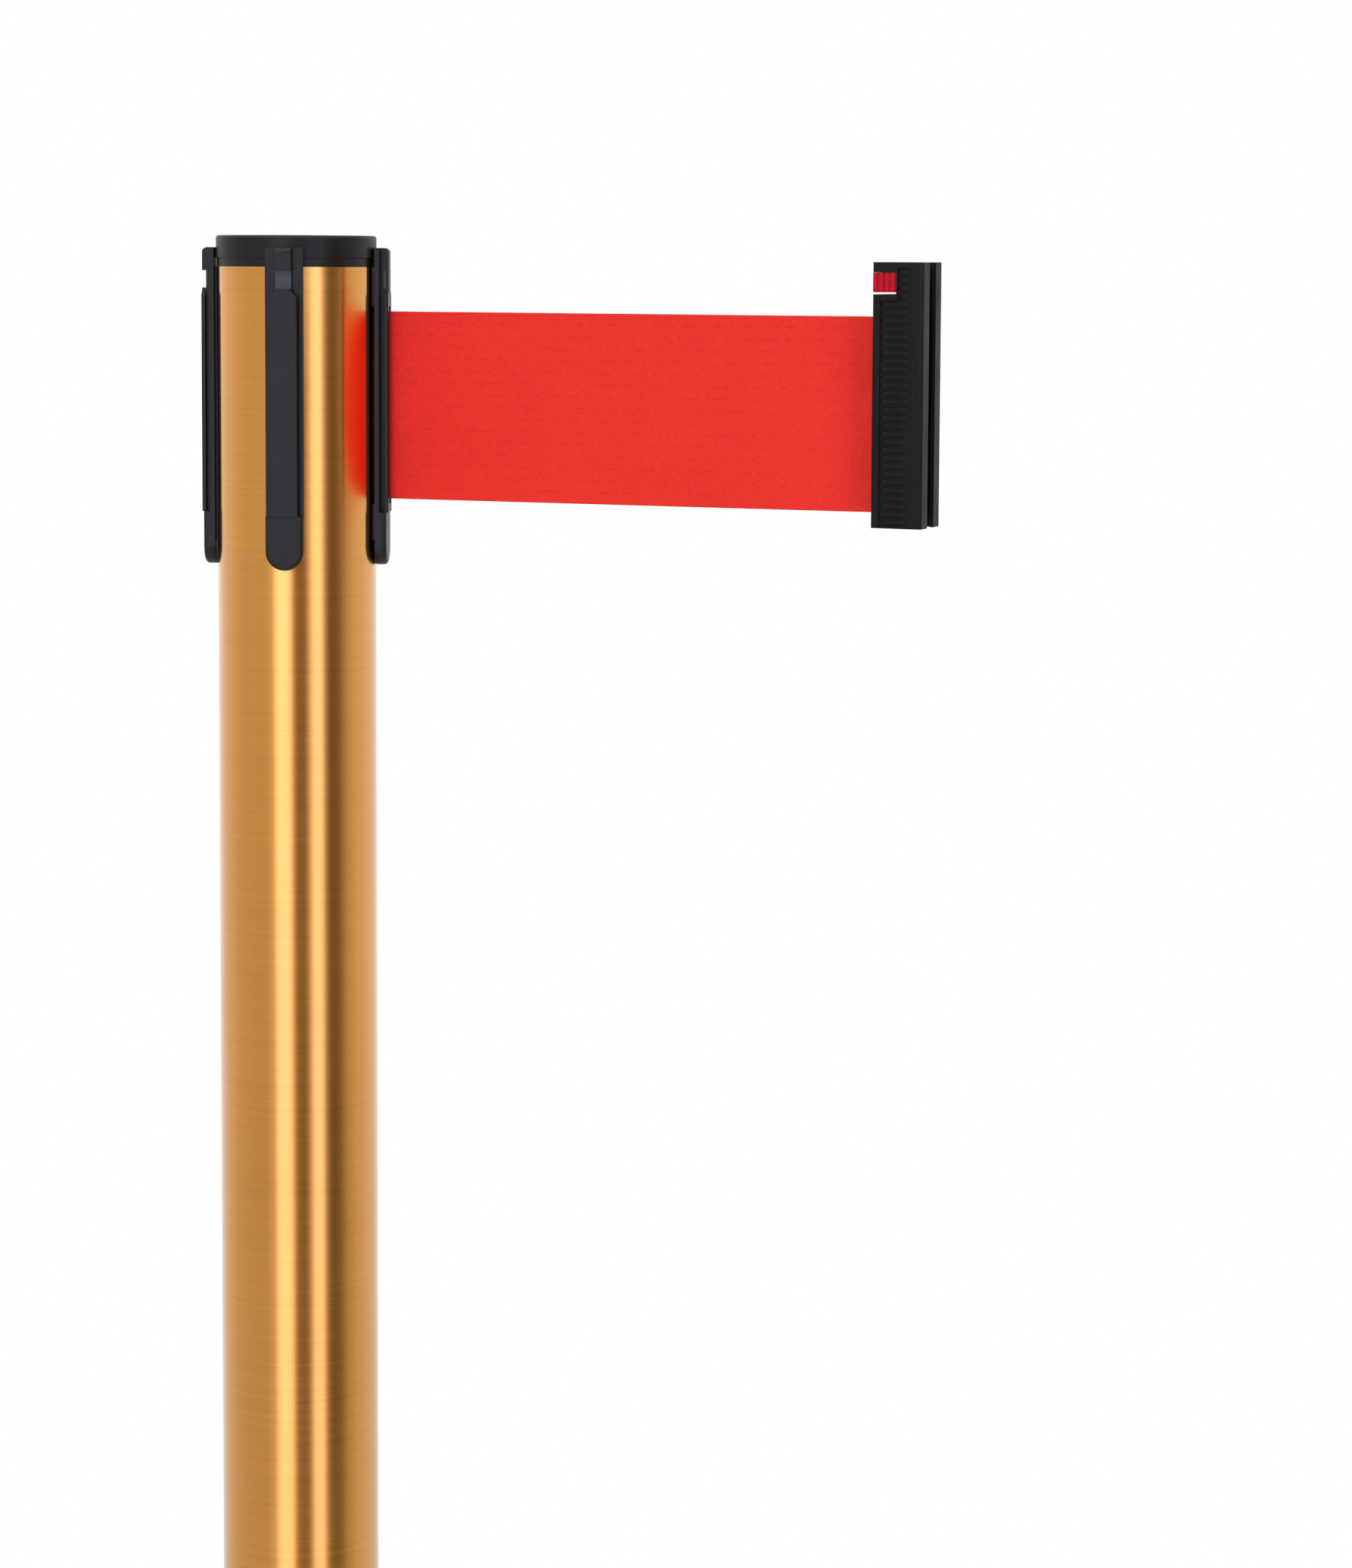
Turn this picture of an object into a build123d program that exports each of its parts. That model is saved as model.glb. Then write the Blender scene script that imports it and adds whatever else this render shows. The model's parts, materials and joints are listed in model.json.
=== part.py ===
"""Retractable belt stanchion: a weighted base, a brushed tube, and a belt cassette in the tube's top.

The frame has +Z up and its origin on the floor, on the post's axis. The belt leaves the head along +X,
and three docking rails for other posts' belt ends face +Y, -X and -Y. All sizes are in millimetres.
"""

import os
from math import acos, cos, degrees, radians, sin, sqrt

from build123d import *

# ---------------------------------------------------------------- driving dimensions

overall_height = 1000.0
running_gap = 0.1  # between pieces that turn or slide on each other
seat_gap = 0.05  # between pieces that are fixed to each other
soft_gap = 0.3  # between belt or spring and what it passes

# post
post_diameter = 63.5
post_wall = 1.2
tube_slot_width = 11.6
foot_plug_height = 32.0
foot_plug_wall = 6.0

# base
base_diameter = 350.0
base_rim_height = 14.0
base_crown_height = 34.0
base_crown_radius = 62.0
base_rim_round = 8.0
base_shoulder_radius = 130.0
base_shoulder_height = 22.5
base_shoulder_round = 250.0
cover_thickness = 1.0
floor_ring_height = 4.0
floor_ring_width = 9.0
weight_side_gap = 1.0
collar_height = 11.0
collar_wall = 7.0
collar_round = 4.0
base_bolt_diameter = 12.0
base_bolt_length = 50.0
base_bolt_head_height = 7.0
base_bolt_head_diameter = 20.0
base_washer_diameter = 36.0
base_washer_thickness = 3.0
bolt_hole_play = 0.5

# cap and deck on top of the tube
cap_height = 9.0
cap_wall = 2.0
cap_round = 1.2
deck_thickness = 3.4
deck_hole_radius = 22.0
deck_inset = 0.5  # leaves a shadow line under the cap's lip
cap_lip_round = 0.4
head_overhang = 0.25  # how far the cap and deck stand out past the tube
cap_leg_width = 9.0
cap_leg_thickness = 1.6
cap_leg_catch = 1.2
cap_leg_count = 3

# docking rails on the four sides of the head
strip_width = 15.0
strip_length = 126.8
strip_top_below_cap = 4.8
strip_plate_thickness = 1.9
rail_groove_depth = 2.0
rail_head_thickness = 1.5
rail_head_width = 11.2
rail_neck_width = 6.4
rail_head_below_top = 19.5
rail_flare_height = 2.5
ledge_height = 21.3
ledge_depth = 4.7
ledge_round = 1.6
catch_height = 6.9
catch_depth = 1.6
catch_below_top = 9.2
strip_edge_round = 2.0
rail_edge_bevel = 0.3
strip_screw_below_top = 13.0
strip_screw_above_bottom = 16.0
slot_floor_cover = 2.5  # how far the strip hides the tube's slot below its floor

# belt
belt_width = 75.0
belt_thickness = 0.55
belt_centre_below_top = 67.5
belt_angle = -16.8  # direction of the drawn belt, from +X
belt_drawn = 205.6  # from the exit to the back of the belt end
belt_coil_pitch = 0.6
coil_margin = 0.4  # how far the full coil stays inside the spool's flanges
belt_bend_radius = 2.5
exit_inset = 1.0  # how far inside the guide's face the belt bends

# cassette inside the tube
frame_wall = 2.2
frame_clearance = 0.3
frame_plate_thickness = 2.5
frame_skirt = 13.0
spool_core_radius = 16.0
spool_core_wall = 1.5
spool_flange_radius = 27.4
spool_flange_thickness = 1.5
spool_side_play = 0.5
arbor_diameter = 10.0
bush_wall = 2.0
bush_length = 6.0
bush_flange_width = 2.5
bush_flange_thickness = 1.0
brake_washer_thickness = 1.2
spring_thickness = 0.35
spring_pitch = 0.68
spring_end_gap = 4.0
spring_inner_gap = 0.5
exit_slot_width = 3.2
exit_slot_round = 1.0
exit_mouth_width = 6.8
belt_slot_margin = 2.0
belt_window_width = 24.0
belt_window_depth = 16.0

# belt end
end_height = 101.0
end_width = 22.0
end_depth = 20.5
end_angle = -20.5  # direction of the belt end, from +X
end_edge_round = 1.4
end_lip_thickness = 1.6
end_lip_gap = 7.4
end_channel_width = 12.0
end_channel_depth = 5.0
anchor_pin_diameter = 3.5
anchor_inset = 6.0
anchor_overlap = 1.5  # how far the pin and its hole pass the belt's edges
anchor_mouth = 2.4  # half width of the keyhole's mouth at the back face
swivel_room = 15.0  # half angle of the flared mouth behind the anchor pin
loop_tab = 8.0
rib_pitch = 3.06
rib_count = 32
rib_height = 1.5
rib_depth = 0.7
rib_root = 0.3  # how far a rib is sunk below its recess
rib_top_inset = 3.0
rib_back_ramp = 0.6
rib_front_ramp = 2.2
rib_margin = 0.4
short_rib_count = 4
short_rib_inset = 1.0
rib_start = 3.6
rib_end = 14.8
rib_stagger = 0.5
latch_travel = 3.5
latch_top = 3.9
latch_height = 7.5
latch_slit = 0.8
latch_length = 9.6
latch_rib_width = 1.3
latch_rib_depth = 0.6
latch_rib_count = 4
tongue_width = 4.8
tongue_height = 5.9
tongue_reach = 4.4
tongue_chamfer = 2.0
latch_pocket_height = 2.5
latch_pocket_width = 2.6
latch_pocket_length = 6.8
latch_pocket_inset = 1.6
latch_lug_length = 1.4
latch_spring_radius = 0.8
latch_spring_wire = 0.2
latch_spring_coils = 4

# fasteners
screw_diameter = 3.0
screw_head_diameter = 5.6
screw_head_height = 2.0
screw_skin = 0.6  # what a blind screw hole leaves under a rail's face
arbor_screw_diameter = 5.0
arbor_screw_length = 12.0
arbor_screw_head_diameter = 12.0
arbor_screw_head_height = 3.0
lock_screw_angle = 135.0
lock_screw_drop = 6.0

# ---------------------------------------------------------------- worked-out dimensions

post_radius = post_diameter / 2
tube_bore_radius = post_radius - post_wall
head_radius = post_radius + head_overhang
cap_bottom = overall_height - cap_height
tube_top = cap_bottom - deck_thickness
tube_bottom = base_crown_height - cover_thickness - seat_gap

frame_radius = tube_bore_radius - frame_clearance
frame_bore_radius = frame_radius - frame_wall

strip_top = overall_height - strip_top_below_cap
strip_bottom = strip_top - strip_length
strip_back = head_radius + running_gap
plate_face = strip_back + strip_plate_thickness
rail_back = plate_face + rail_groove_depth
rail_face = rail_back + rail_head_thickness
ledge_face = strip_back + ledge_depth
ledge_top = strip_bottom + ledge_height
rib_back = frame_radius + running_gap
slot_floor = strip_bottom + strip_width / 2 + slot_floor_cover

belt_centre = overall_height - belt_centre_below_top
belt_bottom = belt_centre - belt_width / 2
belt_top = belt_centre + belt_width / 2
coil_inner_radius = spool_core_radius + soft_gap
coil_room = spool_flange_radius - coil_margin - coil_inner_radius - belt_thickness
belt_coil_turns = int(coil_room / belt_coil_pitch)
coil_radius = coil_inner_radius + belt_coil_turns * belt_coil_pitch + belt_thickness
spring_radius = arbor_diameter / 2 + spring_inner_gap
spring_room = spool_core_radius - spool_core_wall - soft_gap - spring_thickness - spring_radius
spring_turns = int(spring_room / spring_pitch)
slot_bottom = belt_bottom - belt_slot_margin
slot_top = belt_top + belt_slot_margin

spool_bottom = belt_bottom - spool_side_play - spool_flange_thickness
spool_top = belt_top + spool_side_play + spool_flange_thickness
bush_bore_radius = arbor_diameter / 2 + seat_gap
bush_radius = bush_bore_radius + bush_wall
floor_top = spool_bottom - bush_flange_thickness - 2 * running_gap
floor_bottom = floor_top - frame_plate_thickness
plate_bottom = spool_top + bush_flange_thickness + brake_washer_thickness + 3 * running_gap
plate_top = plate_bottom + frame_plate_thickness
frame_bottom = floor_bottom - frame_skirt
lock_screw_height = frame_bottom + lock_screw_drop
rail_angles = (0, 90, 180, 270)
strip_screw_heights = (strip_bottom + strip_screw_above_bottom, strip_top - strip_screw_below_top)

belt_exit = Vector(rail_face - exit_inset, 0, 0)
anchor_distance = belt_drawn + anchor_inset
end_bottom = ledge_top
end_top = end_bottom + end_height
anchor_hole_radius = anchor_pin_diameter / 2 + seat_gap + belt_thickness + running_gap


def heading(angle):
    """A level unit vector at this angle from +X."""
    return Vector(cos(radians(angle)), sin(radians(angle)), 0)


anchor_point = belt_exit + heading(belt_angle) * anchor_distance
belt_plane = Plane(origin=belt_exit, x_dir=heading(belt_angle), z_dir=(0, 0, 1))
tip_plane = Plane(origin=anchor_point, x_dir=heading(belt_angle), z_dir=(0, 0, 1))
# the belt end's own frame: x runs from its back face to its mating face
end_plane = Plane(
    origin=anchor_point - heading(end_angle) * anchor_inset,
    x_dir=heading(end_angle),
    z_dir=(0, 0, 1),
)

os.makedirs("parts", exist_ok=True)


def save(solid, name):
    """Labels a finished piece and writes it as its own STEP file."""
    solid.label = name
    export_step(solid, f"parts/{name}.step")


def radial_plane(angle, radius, height):
    """A plane that faces outward from the post's axis at this angle, radius and height."""
    origin = heading(angle) * radius + Vector(0, 0, height)
    return Plane(origin=origin, x_dir=(0, 0, 1), z_dir=heading(angle))


def turned(corners):
    """Revolves a closed half section, given as (radius, height, corner rounding), around the post's axis."""
    points = [(radius, height) for radius, height, rounding in corners]
    roundings = [rounding for radius, height, rounding in corners]
    with BuildPart() as body:
        with BuildSketch(Plane.XZ):
            with BuildLine():
                FilletPolyline(*points, radius=roundings, close=True)
            make_face()
        revolve(axis=Axis.Z)
    return body.part


def ring(inner, outer, bottom, top):
    """A plain ring or, with no inner radius, a disc."""
    with BuildPart() as body:
        with BuildSketch(Plane.XY.offset(bottom)):
            Circle(outer)
            if inner:
                Circle(inner, mode=Mode.SUBTRACT)
        extrude(amount=top - bottom)
    return body.part


# ---------------------------------------------------------------- base and post


def make_base():
    """Cast iron weight, spun cover over it, rubber ring under its rim, and the collar at the tube's foot."""
    base_radius = base_diameter / 2
    weight_bottom = floor_ring_height
    under = cover_thickness + seat_gap
    weight_radius = base_radius - cover_thickness - weight_side_gap
    bolt_hole = base_bolt_diameter / 2 + bolt_hole_play
    recess = base_washer_diameter / 2 + 1
    recess_top = weight_bottom + base_bolt_head_height + base_washer_thickness + 1
    save(
        turned(
            [
                (recess, weight_bottom, 0),
                (weight_radius, weight_bottom, 0),
                (weight_radius, base_rim_height - under, base_rim_round - under),
                (base_shoulder_radius, base_shoulder_height - under, base_shoulder_round + under),
                (base_crown_radius, base_crown_height - under, 0),
                (bolt_hole, base_crown_height - under, 0),
                (bolt_hole, recess_top, 0),
                (recess, recess_top, 0),
            ]
        ),
        "base_weight",
    )
    cover_hole = post_radius + running_gap
    inner = cover_thickness
    save(
        turned(
            [
                (base_radius - inner, weight_bottom, 0),
                (base_radius, weight_bottom, 0),
                (base_radius, base_rim_height, base_rim_round),
                (base_shoulder_radius, base_shoulder_height, base_shoulder_round),
                (base_crown_radius, base_crown_height, 0),
                (cover_hole, base_crown_height, 0),
                (cover_hole, base_crown_height - inner, 0),
                (base_crown_radius, base_crown_height - inner, 0),
                (base_shoulder_radius, base_shoulder_height - inner, base_shoulder_round + inner),
                (base_radius - inner, base_rim_height - inner, base_rim_round - inner),
            ]
        ),
        "base_cover",
    )
    save(ring(base_radius - floor_ring_width, base_radius, 0, floor_ring_height), "floor_ring")

    with BuildPart() as collar:
        with BuildSketch(Plane.XY.offset(base_crown_height)):
            Circle(post_radius + running_gap + collar_wall)
            Circle(post_radius + running_gap, mode=Mode.SUBTRACT)
        extrude(amount=collar_height)
        fillet(collar.edges().group_by(Axis.Z)[-1].sort_by(SortBy.LENGTH)[-1], collar_round)
    save(collar.part, "post_collar")

    washer_bottom = recess_top - base_washer_thickness
    save(ring(bolt_hole, base_washer_diameter / 2, washer_bottom, recess_top), "base_washer")
    with BuildPart() as bolt:
        with BuildSketch(Plane.XY.offset(washer_bottom - base_bolt_head_height)):
            RegularPolygon(base_bolt_head_diameter / 2, 6)
        extrude(amount=base_bolt_head_height)
        with BuildSketch(Plane.XY.offset(washer_bottom)):
            Circle(base_bolt_diameter / 2)
        extrude(amount=base_bolt_length)
    save(bolt.part, "base_bolt")


def make_post():
    """The tube, slotted at the top for the four rails, and the threaded plug in its foot."""
    with BuildPart() as tube:
        with BuildSketch(Plane.XY.offset(tube_bottom)):
            Circle(post_radius)
            Circle(tube_bore_radius, mode=Mode.SUBTRACT)
        extrude(amount=tube_top - tube_bottom)
        with BuildSketch(Plane.XY.offset(slot_floor)):
            Rectangle(3 * post_radius, tube_slot_width)
            Rectangle(tube_slot_width, 3 * post_radius)
        extrude(amount=tube_top - slot_floor, mode=Mode.SUBTRACT)
        with BuildSketch(radial_plane(lock_screw_angle, 0, lock_screw_height)):
            Circle(screw_diameter / 2 + seat_gap)
        extrude(amount=2 * post_radius, mode=Mode.SUBTRACT)
    save(tube.part, "post_tube")

    with BuildPart() as plug:
        with BuildSketch(Plane.XY.offset(tube_bottom)):
            Circle(tube_bore_radius - seat_gap)
            Circle(base_bolt_diameter / 2 + seat_gap, mode=Mode.SUBTRACT)
        extrude(amount=foot_plug_height)
        with BuildSketch(Plane.XY.offset(tube_bottom + foot_plug_wall)):
            Circle(tube_bore_radius - foot_plug_wall)
            Circle(base_bolt_diameter / 2 + foot_plug_wall, mode=Mode.SUBTRACT)
        extrude(amount=foot_plug_height, mode=Mode.SUBTRACT)
    save(plug.part, "foot_plug")


# ---------------------------------------------------------------- docking rails


def strip_outline():
    """The rail's outline seen from outside: straight, with a half-round lower end."""
    radius = strip_width / 2
    middle = (strip_bottom + radius + strip_top) / 2
    with Locations((0, middle)):
        Rectangle(strip_width, strip_top - strip_bottom - radius)
    with Locations((0, strip_bottom + radius)):
        Circle(radius)


def make_rail(latch_catch, belt_slot):
    """A docking rail facing +X: a plate, a T rail a belt end slides down on, and the ledge it stops at."""
    rail_height = strip_top - ledge_top
    head_top = strip_top - rail_head_below_top
    half_neck = rail_neck_width / 2
    half_head = rail_head_width / 2
    with BuildPart() as rail:
        with BuildSketch(Plane.YZ.offset(strip_back)):
            strip_outline()
        extrude(amount=strip_plate_thickness)
        with BuildSketch(Plane.YZ.offset(strip_back)) as ledge:
            strip_outline()
            with Locations((0, ledge_top + rail_height)):
                Rectangle(strip_width, 2 * rail_height, mode=Mode.SUBTRACT)
        extrude(amount=ledge_depth)
        ledge_edges = rail.edges().group_by(Axis.X)[-1].sort_by(Axis.Z)[:-1]
        fillet(ledge_edges, ledge_round)
        with BuildSketch(Plane.YZ.offset(plate_face)):
            with Locations((0, ledge_top + rail_height / 2)):
                Rectangle(rail_neck_width, rail_height)
        extrude(amount=rail_face - plate_face)
        with BuildSketch(Plane.YZ.offset(rail_back)):
            with BuildLine():
                Polyline(
                    (-half_head, ledge_top),
                    (half_head, ledge_top),
                    (half_head, head_top),
                    (half_neck, head_top + rail_flare_height),
                    (-half_neck, head_top + rail_flare_height),
                    (-half_head, head_top),
                    close=True,
                )
            make_face()
        extrude(amount=rail_head_thickness)
        if latch_catch:
            catch_middle = strip_top - catch_below_top - catch_height / 2
            with Locations((rail_face, 0, catch_middle)):
                Box(2 * catch_depth, strip_width, catch_height, mode=Mode.SUBTRACT)
        top_edge = rail.edges().filter_by(Axis.Y).group_by(Axis.X)[-1].sort_by(Axis.Z)[-1]
        fillet(top_edge, strip_edge_round)
        head_edges = rail.edges().filter_by(Axis.Z).group_by(Axis.X)[-1].sort_by(SortBy.LENGTH)[-2:]
        chamfer(head_edges, rail_edge_bevel)
        # the rib behind the plate stands in the tube's slot
        rib_top = tube_top - seat_gap
        rib_bottom = slot_floor + seat_gap
        rib_width = tube_slot_width - 6 * running_gap
        with Locations(((rib_back + strip_back) / 2, 0, (rib_bottom + rib_top) / 2)):
            Box(strip_back - rib_back, rib_width, rib_top - rib_bottom)
        if belt_slot:
            slot_middle = (slot_bottom + slot_top) / 2
            slot_height = slot_top - slot_bottom
            with Locations((rib_back, 0, slot_middle)):
                Box(2 * (strip_back - rib_back), strip_width, slot_height, mode=Mode.SUBTRACT)
            with BuildSketch(Plane.XY.offset(slot_bottom)):
                belt_slot_section()
            extrude(amount=slot_height, mode=Mode.SUBTRACT)
        for height in strip_screw_heights:
            with BuildSketch(radial_plane(0, 0, height)):
                Circle(screw_diameter / 2 + seat_gap)
            extrude(amount=plate_face - screw_skin, mode=Mode.SUBTRACT)
    return rail.part


def belt_slot_section():
    """The belt slot seen from above, with a wide mouth inside and rounded lips outside."""
    half_slot = exit_slot_width / 2
    with BuildLine() as outline:
        mouth = Line((strip_back, exit_mouth_width / 2), (plate_face, half_slot))
        wall = Line(mouth @ 1, (rail_face - exit_slot_round, half_slot))
        lip = RadiusArc(wall @ 1, (rail_face, half_slot + exit_slot_round), exit_slot_round)
        Polyline(lip @ 1, (rail_face + 1, half_slot + exit_slot_round), (rail_face + 1, 0))
        Polyline(mouth @ 0, (strip_back - 1, exit_mouth_width / 2), (strip_back - 1, 0))
        mirror(outline.line, about=Plane.XZ)
    make_face(outline.edges())


def make_rails():
    """Three docking rails, and the fourth side's guide that the belt leaves through."""
    receiver = make_rail(latch_catch=True, belt_slot=False)
    for name, angle in (("receiver_back", 90), ("receiver_left", 180), ("receiver_front", 270)):
        save(receiver.rotate(Axis.Z, angle), name)
    save(make_rail(latch_catch=False, belt_slot=True), "belt_exit_guide")


# ---------------------------------------------------------------- cassette


def screw(diameter, length, head_diameter, head_height):
    """A flat-headed screw along +X with the underside of its head at the origin."""
    with BuildPart() as body:
        with BuildSketch(Plane.YZ):
            Circle(diameter / 2)
        extrude(amount=length)
        with BuildSketch(Plane.YZ):
            Circle(head_diameter / 2)
        extrude(amount=-head_height)
    return body.part


def make_cassette():
    """The frame that hangs in the tube by its deck, its floor plate, and the screws that hold them."""
    screw_hole = screw_diameter / 2 + seat_gap
    arbor_screw_hole = arbor_screw_diameter / 2 + seat_gap
    with BuildPart() as frame:
        with BuildSketch(Plane.XY.offset(frame_bottom)):
            Circle(frame_radius)
            Circle(frame_bore_radius, mode=Mode.SUBTRACT)
        extrude(amount=tube_top - frame_bottom)
        with BuildSketch(Plane.XY.offset(tube_top)):
            Circle(head_radius - deck_inset)
            Circle(deck_hole_radius, mode=Mode.SUBTRACT)
        extrude(amount=deck_thickness)
        with BuildSketch(Plane.XY.offset(plate_bottom)):
            Circle(frame_bore_radius)
            Circle(arbor_screw_hole, mode=Mode.SUBTRACT)
        extrude(amount=frame_plate_thickness)
        window_height = slot_top - slot_bottom
        with Locations((frame_radius, 0, slot_bottom + window_height / 2)):
            Box(belt_window_depth, belt_window_width, window_height, mode=Mode.SUBTRACT)
        screw_places = [(angle, height) for angle in rail_angles for height in strip_screw_heights]
        for angle, height in screw_places + [(lock_screw_angle, lock_screw_height)]:
            with BuildSketch(radial_plane(angle, 0, height)):
                Circle(screw_hole)
            extrude(amount=head_radius, mode=Mode.SUBTRACT)
    save(frame.part, "cassette_frame")
    save(ring(arbor_screw_hole, frame_bore_radius - seat_gap, floor_bottom, floor_top), "cassette_floor")

    under_head = sqrt(frame_bore_radius**2 - (screw_head_diameter / 2) ** 2) - seat_gap
    strip_screw = screw(
        screw_diameter,
        plate_face - screw_skin - seat_gap - under_head,
        screw_head_diameter,
        screw_head_height,
    )
    screws = [
        strip_screw.moved(Location((0, 0, height), (0, 0, angle)) * Location((under_head, 0, 0)))
        for angle, height in screw_places
    ]
    save(Compound(children=screws), "rail_screws")

    lock = screw(screw_diameter, post_wall + frame_wall + 1, screw_head_diameter, screw_head_height)
    outside = Location((0, 0, lock_screw_height), (0, 0, lock_screw_angle))
    inward = Location((post_radius + seat_gap, 0, 0), (0, 0, 180))
    save(lock.moved(outside * inward), "cassette_lock_screw")


def make_cap():
    """The flat cap that closes the head, with three snap legs through the deck's hole."""
    leg_outer = deck_hole_radius - running_gap
    leg_bottom = tube_top - running_gap - 2 * cap_leg_catch
    cap_ceiling = overall_height - cap_wall
    with BuildPart() as cap:
        with BuildSketch(Plane.XY.offset(cap_bottom)):
            Circle(head_radius)
        extrude(amount=cap_height)
        with BuildSketch(Plane.XY.offset(cap_bottom)):
            Circle(head_radius - cap_wall)
        extrude(amount=cap_ceiling - cap_bottom, mode=Mode.SUBTRACT)
        fillet(cap.edges().group_by(Axis.Z)[-1], cap_round)
        fillet(cap.edges().group_by(Axis.Z)[0].sort_by(SortBy.LENGTH)[-1], cap_lip_round)
        with PolarLocations(0, cap_leg_count, start_angle=45):
            with Locations((leg_outer - cap_leg_thickness / 2, 0, (leg_bottom + cap_ceiling) / 2)):
                Box(cap_leg_thickness, cap_leg_width, cap_ceiling - leg_bottom)
            with Locations((leg_outer + cap_leg_catch / 2, 0, leg_bottom + cap_leg_catch / 2)):
                Box(cap_leg_catch, cap_leg_width, cap_leg_catch)
        with BuildSketch(Plane.XY.offset(tube_top)):
            Circle(head_radius)
            Circle(leg_outer, mode=Mode.SUBTRACT)
        extrude(amount=deck_thickness, mode=Mode.SUBTRACT)
    save(cap.part, "top_cap")


def spiral_band(inner_radius, pitch, turns, thickness, start_angle=0):
    """A closed outline of a coiled band, made of half circles whose radius grows by half a pitch."""

    def half_circles(offset):
        edges = []
        for index in range(2 * turns):
            flip = 1 if index % 2 == 0 else -1
            radius = inner_radius + offset + pitch / 4 + index * pitch / 2
            centre = (flip * pitch / 4 * -1, 0)
            edges.append(CenterArc(centre, radius, 0 if flip == 1 else 180, 180))
        return edges

    with BuildLine() as outline:
        inner = half_circles(0)
        outer = half_circles(thickness)
        Line(inner[0] @ 0, outer[0] @ 0)
        Line(inner[-1] @ 1, outer[-1] @ 1)
    return outline.line


def make_spool():
    """The spool on its fixed arbor, with its bushes, brake washer, mainspring and the belt wound on it."""
    core_bore = spool_core_radius - spool_core_wall
    bush_seat = bush_radius + seat_gap
    with BuildPart() as spool:
        with BuildSketch(Plane.XY.offset(spool_bottom + spool_flange_thickness)):
            Circle(spool_core_radius)
            Circle(core_bore, mode=Mode.SUBTRACT)
        extrude(amount=spool_top - spool_bottom - 2 * spool_flange_thickness)
        with BuildSketch(Plane.XY.offset(spool_top - spool_flange_thickness)):
            Circle(spool_flange_radius)
            Circle(bush_seat, mode=Mode.SUBTRACT)
        extrude(amount=spool_flange_thickness)
    save(spool.part, "spool")
    cover_top = spool_bottom + spool_flange_thickness
    save(ring(bush_seat, spool_flange_radius, spool_bottom, cover_top - seat_gap), "spool_cover")

    with BuildPart() as bush:
        with BuildSketch():
            Circle(bush_radius + bush_flange_width)
        extrude(amount=-bush_flange_thickness)
        with BuildSketch():
            Circle(bush_radius)
        extrude(amount=bush_length)
        with BuildSketch(Plane.XY.offset(-bush_flange_thickness)):
            Circle(bush_bore_radius)
        extrude(amount=bush_flange_thickness + bush_length, mode=Mode.SUBTRACT)
    save(bush.part.moved(Location((0, 0, spool_bottom))), "spool_bush_bottom")
    save(bush.part.moved(Location((0, 0, spool_top), (180, 0, 0))), "spool_bush_top")

    washer_top = plate_bottom - running_gap
    save(
        ring(
            bush_bore_radius,
            bush_radius + bush_flange_width,
            washer_top - brake_washer_thickness,
            washer_top,
        ),
        "brake_washer",
    )

    with BuildPart() as arbor:
        with BuildSketch(Plane.XY.offset(floor_top)):
            Circle(arbor_diameter / 2)
            Circle(arbor_screw_diameter / 2 + seat_gap, mode=Mode.SUBTRACT)
        extrude(amount=plate_bottom - floor_top)
    save(arbor.part, "arbor")
    arbor_screw = screw(
        arbor_screw_diameter, arbor_screw_length, arbor_screw_head_diameter, arbor_screw_head_height
    )
    screws = [
        arbor_screw.moved(Location((0, 0, floor_bottom), (0, -90, 0))),
        arbor_screw.moved(Location((0, 0, plate_top), (0, 90, 0))),
    ]
    save(Compound(children=screws), "arbor_screws")

    with BuildPart() as mainspring:
        with BuildSketch(Plane.XY.offset(spool_bottom + bush_length + spring_end_gap)):
            with BuildLine():
                add(spiral_band(spring_radius, spring_pitch, spring_turns, spring_thickness))
            make_face()
        extrude(amount=spool_top - spool_bottom - 2 * (bush_length + spring_end_gap))
    save(mainspring.part, "mainspring")

    with BuildPart() as coil:
        with BuildSketch(Plane.XY.offset(belt_bottom)):
            with BuildLine():
                add(spiral_band(coil_inner_radius, belt_coil_pitch, belt_coil_turns, belt_thickness))
            make_face()
        extrude(amount=belt_width)
    save(coil.part, "belt_wound")


# ---------------------------------------------------------------- belt


def make_belt():
    """The belt's run from the roll to the exit, its drawn span, and its sewn loop around the anchor pin."""
    bend = plate_face - belt_bend_radius / 4
    roll_radius = coil_radius + soft_gap + belt_thickness / 2
    leave = degrees(acos(roll_radius / bend))
    start = heading(leave) * roll_radius
    with BuildPart() as lead:
        with BuildSketch(Plane.XY.offset(belt_bottom)):
            with BuildLine():
                FilletPolyline(
                    (start.X, start.Y),
                    (bend, 0),
                    (belt_exit.X - soft_gap, 0),
                    radius=belt_bend_radius,
                )
            trace(line_width=belt_thickness)
        extrude(amount=belt_width)
    save(lead.part, "belt_lead")

    span_length = anchor_distance - loop_tab - 2 * soft_gap
    with BuildPart() as span:
        with BuildSketch(belt_plane.offset(belt_bottom)):
            with Locations((soft_gap + span_length / 2, 0)):
                Rectangle(span_length, belt_thickness)
        extrude(amount=belt_width)
    save(span.part, "belt_span")

    pin_radius = anchor_pin_diameter / 2
    loop_bore = pin_radius + seat_gap
    with BuildPart() as loop:
        with BuildSketch(tip_plane.offset(belt_bottom)):
            Circle(loop_bore + belt_thickness)
            with Locations((-loop_tab / 2, 0)):
                Rectangle(loop_tab, 2 * belt_thickness)
            Circle(loop_bore, mode=Mode.SUBTRACT)
        extrude(amount=belt_width)
    save(loop.part, "belt_loop")
    with BuildPart() as pin:
        with BuildSketch(tip_plane.offset(belt_bottom - anchor_overlap / 2)):
            Circle(pin_radius)
        extrude(amount=belt_width + anchor_overlap)
    save(pin.part, "belt_anchor_pin")


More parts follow.
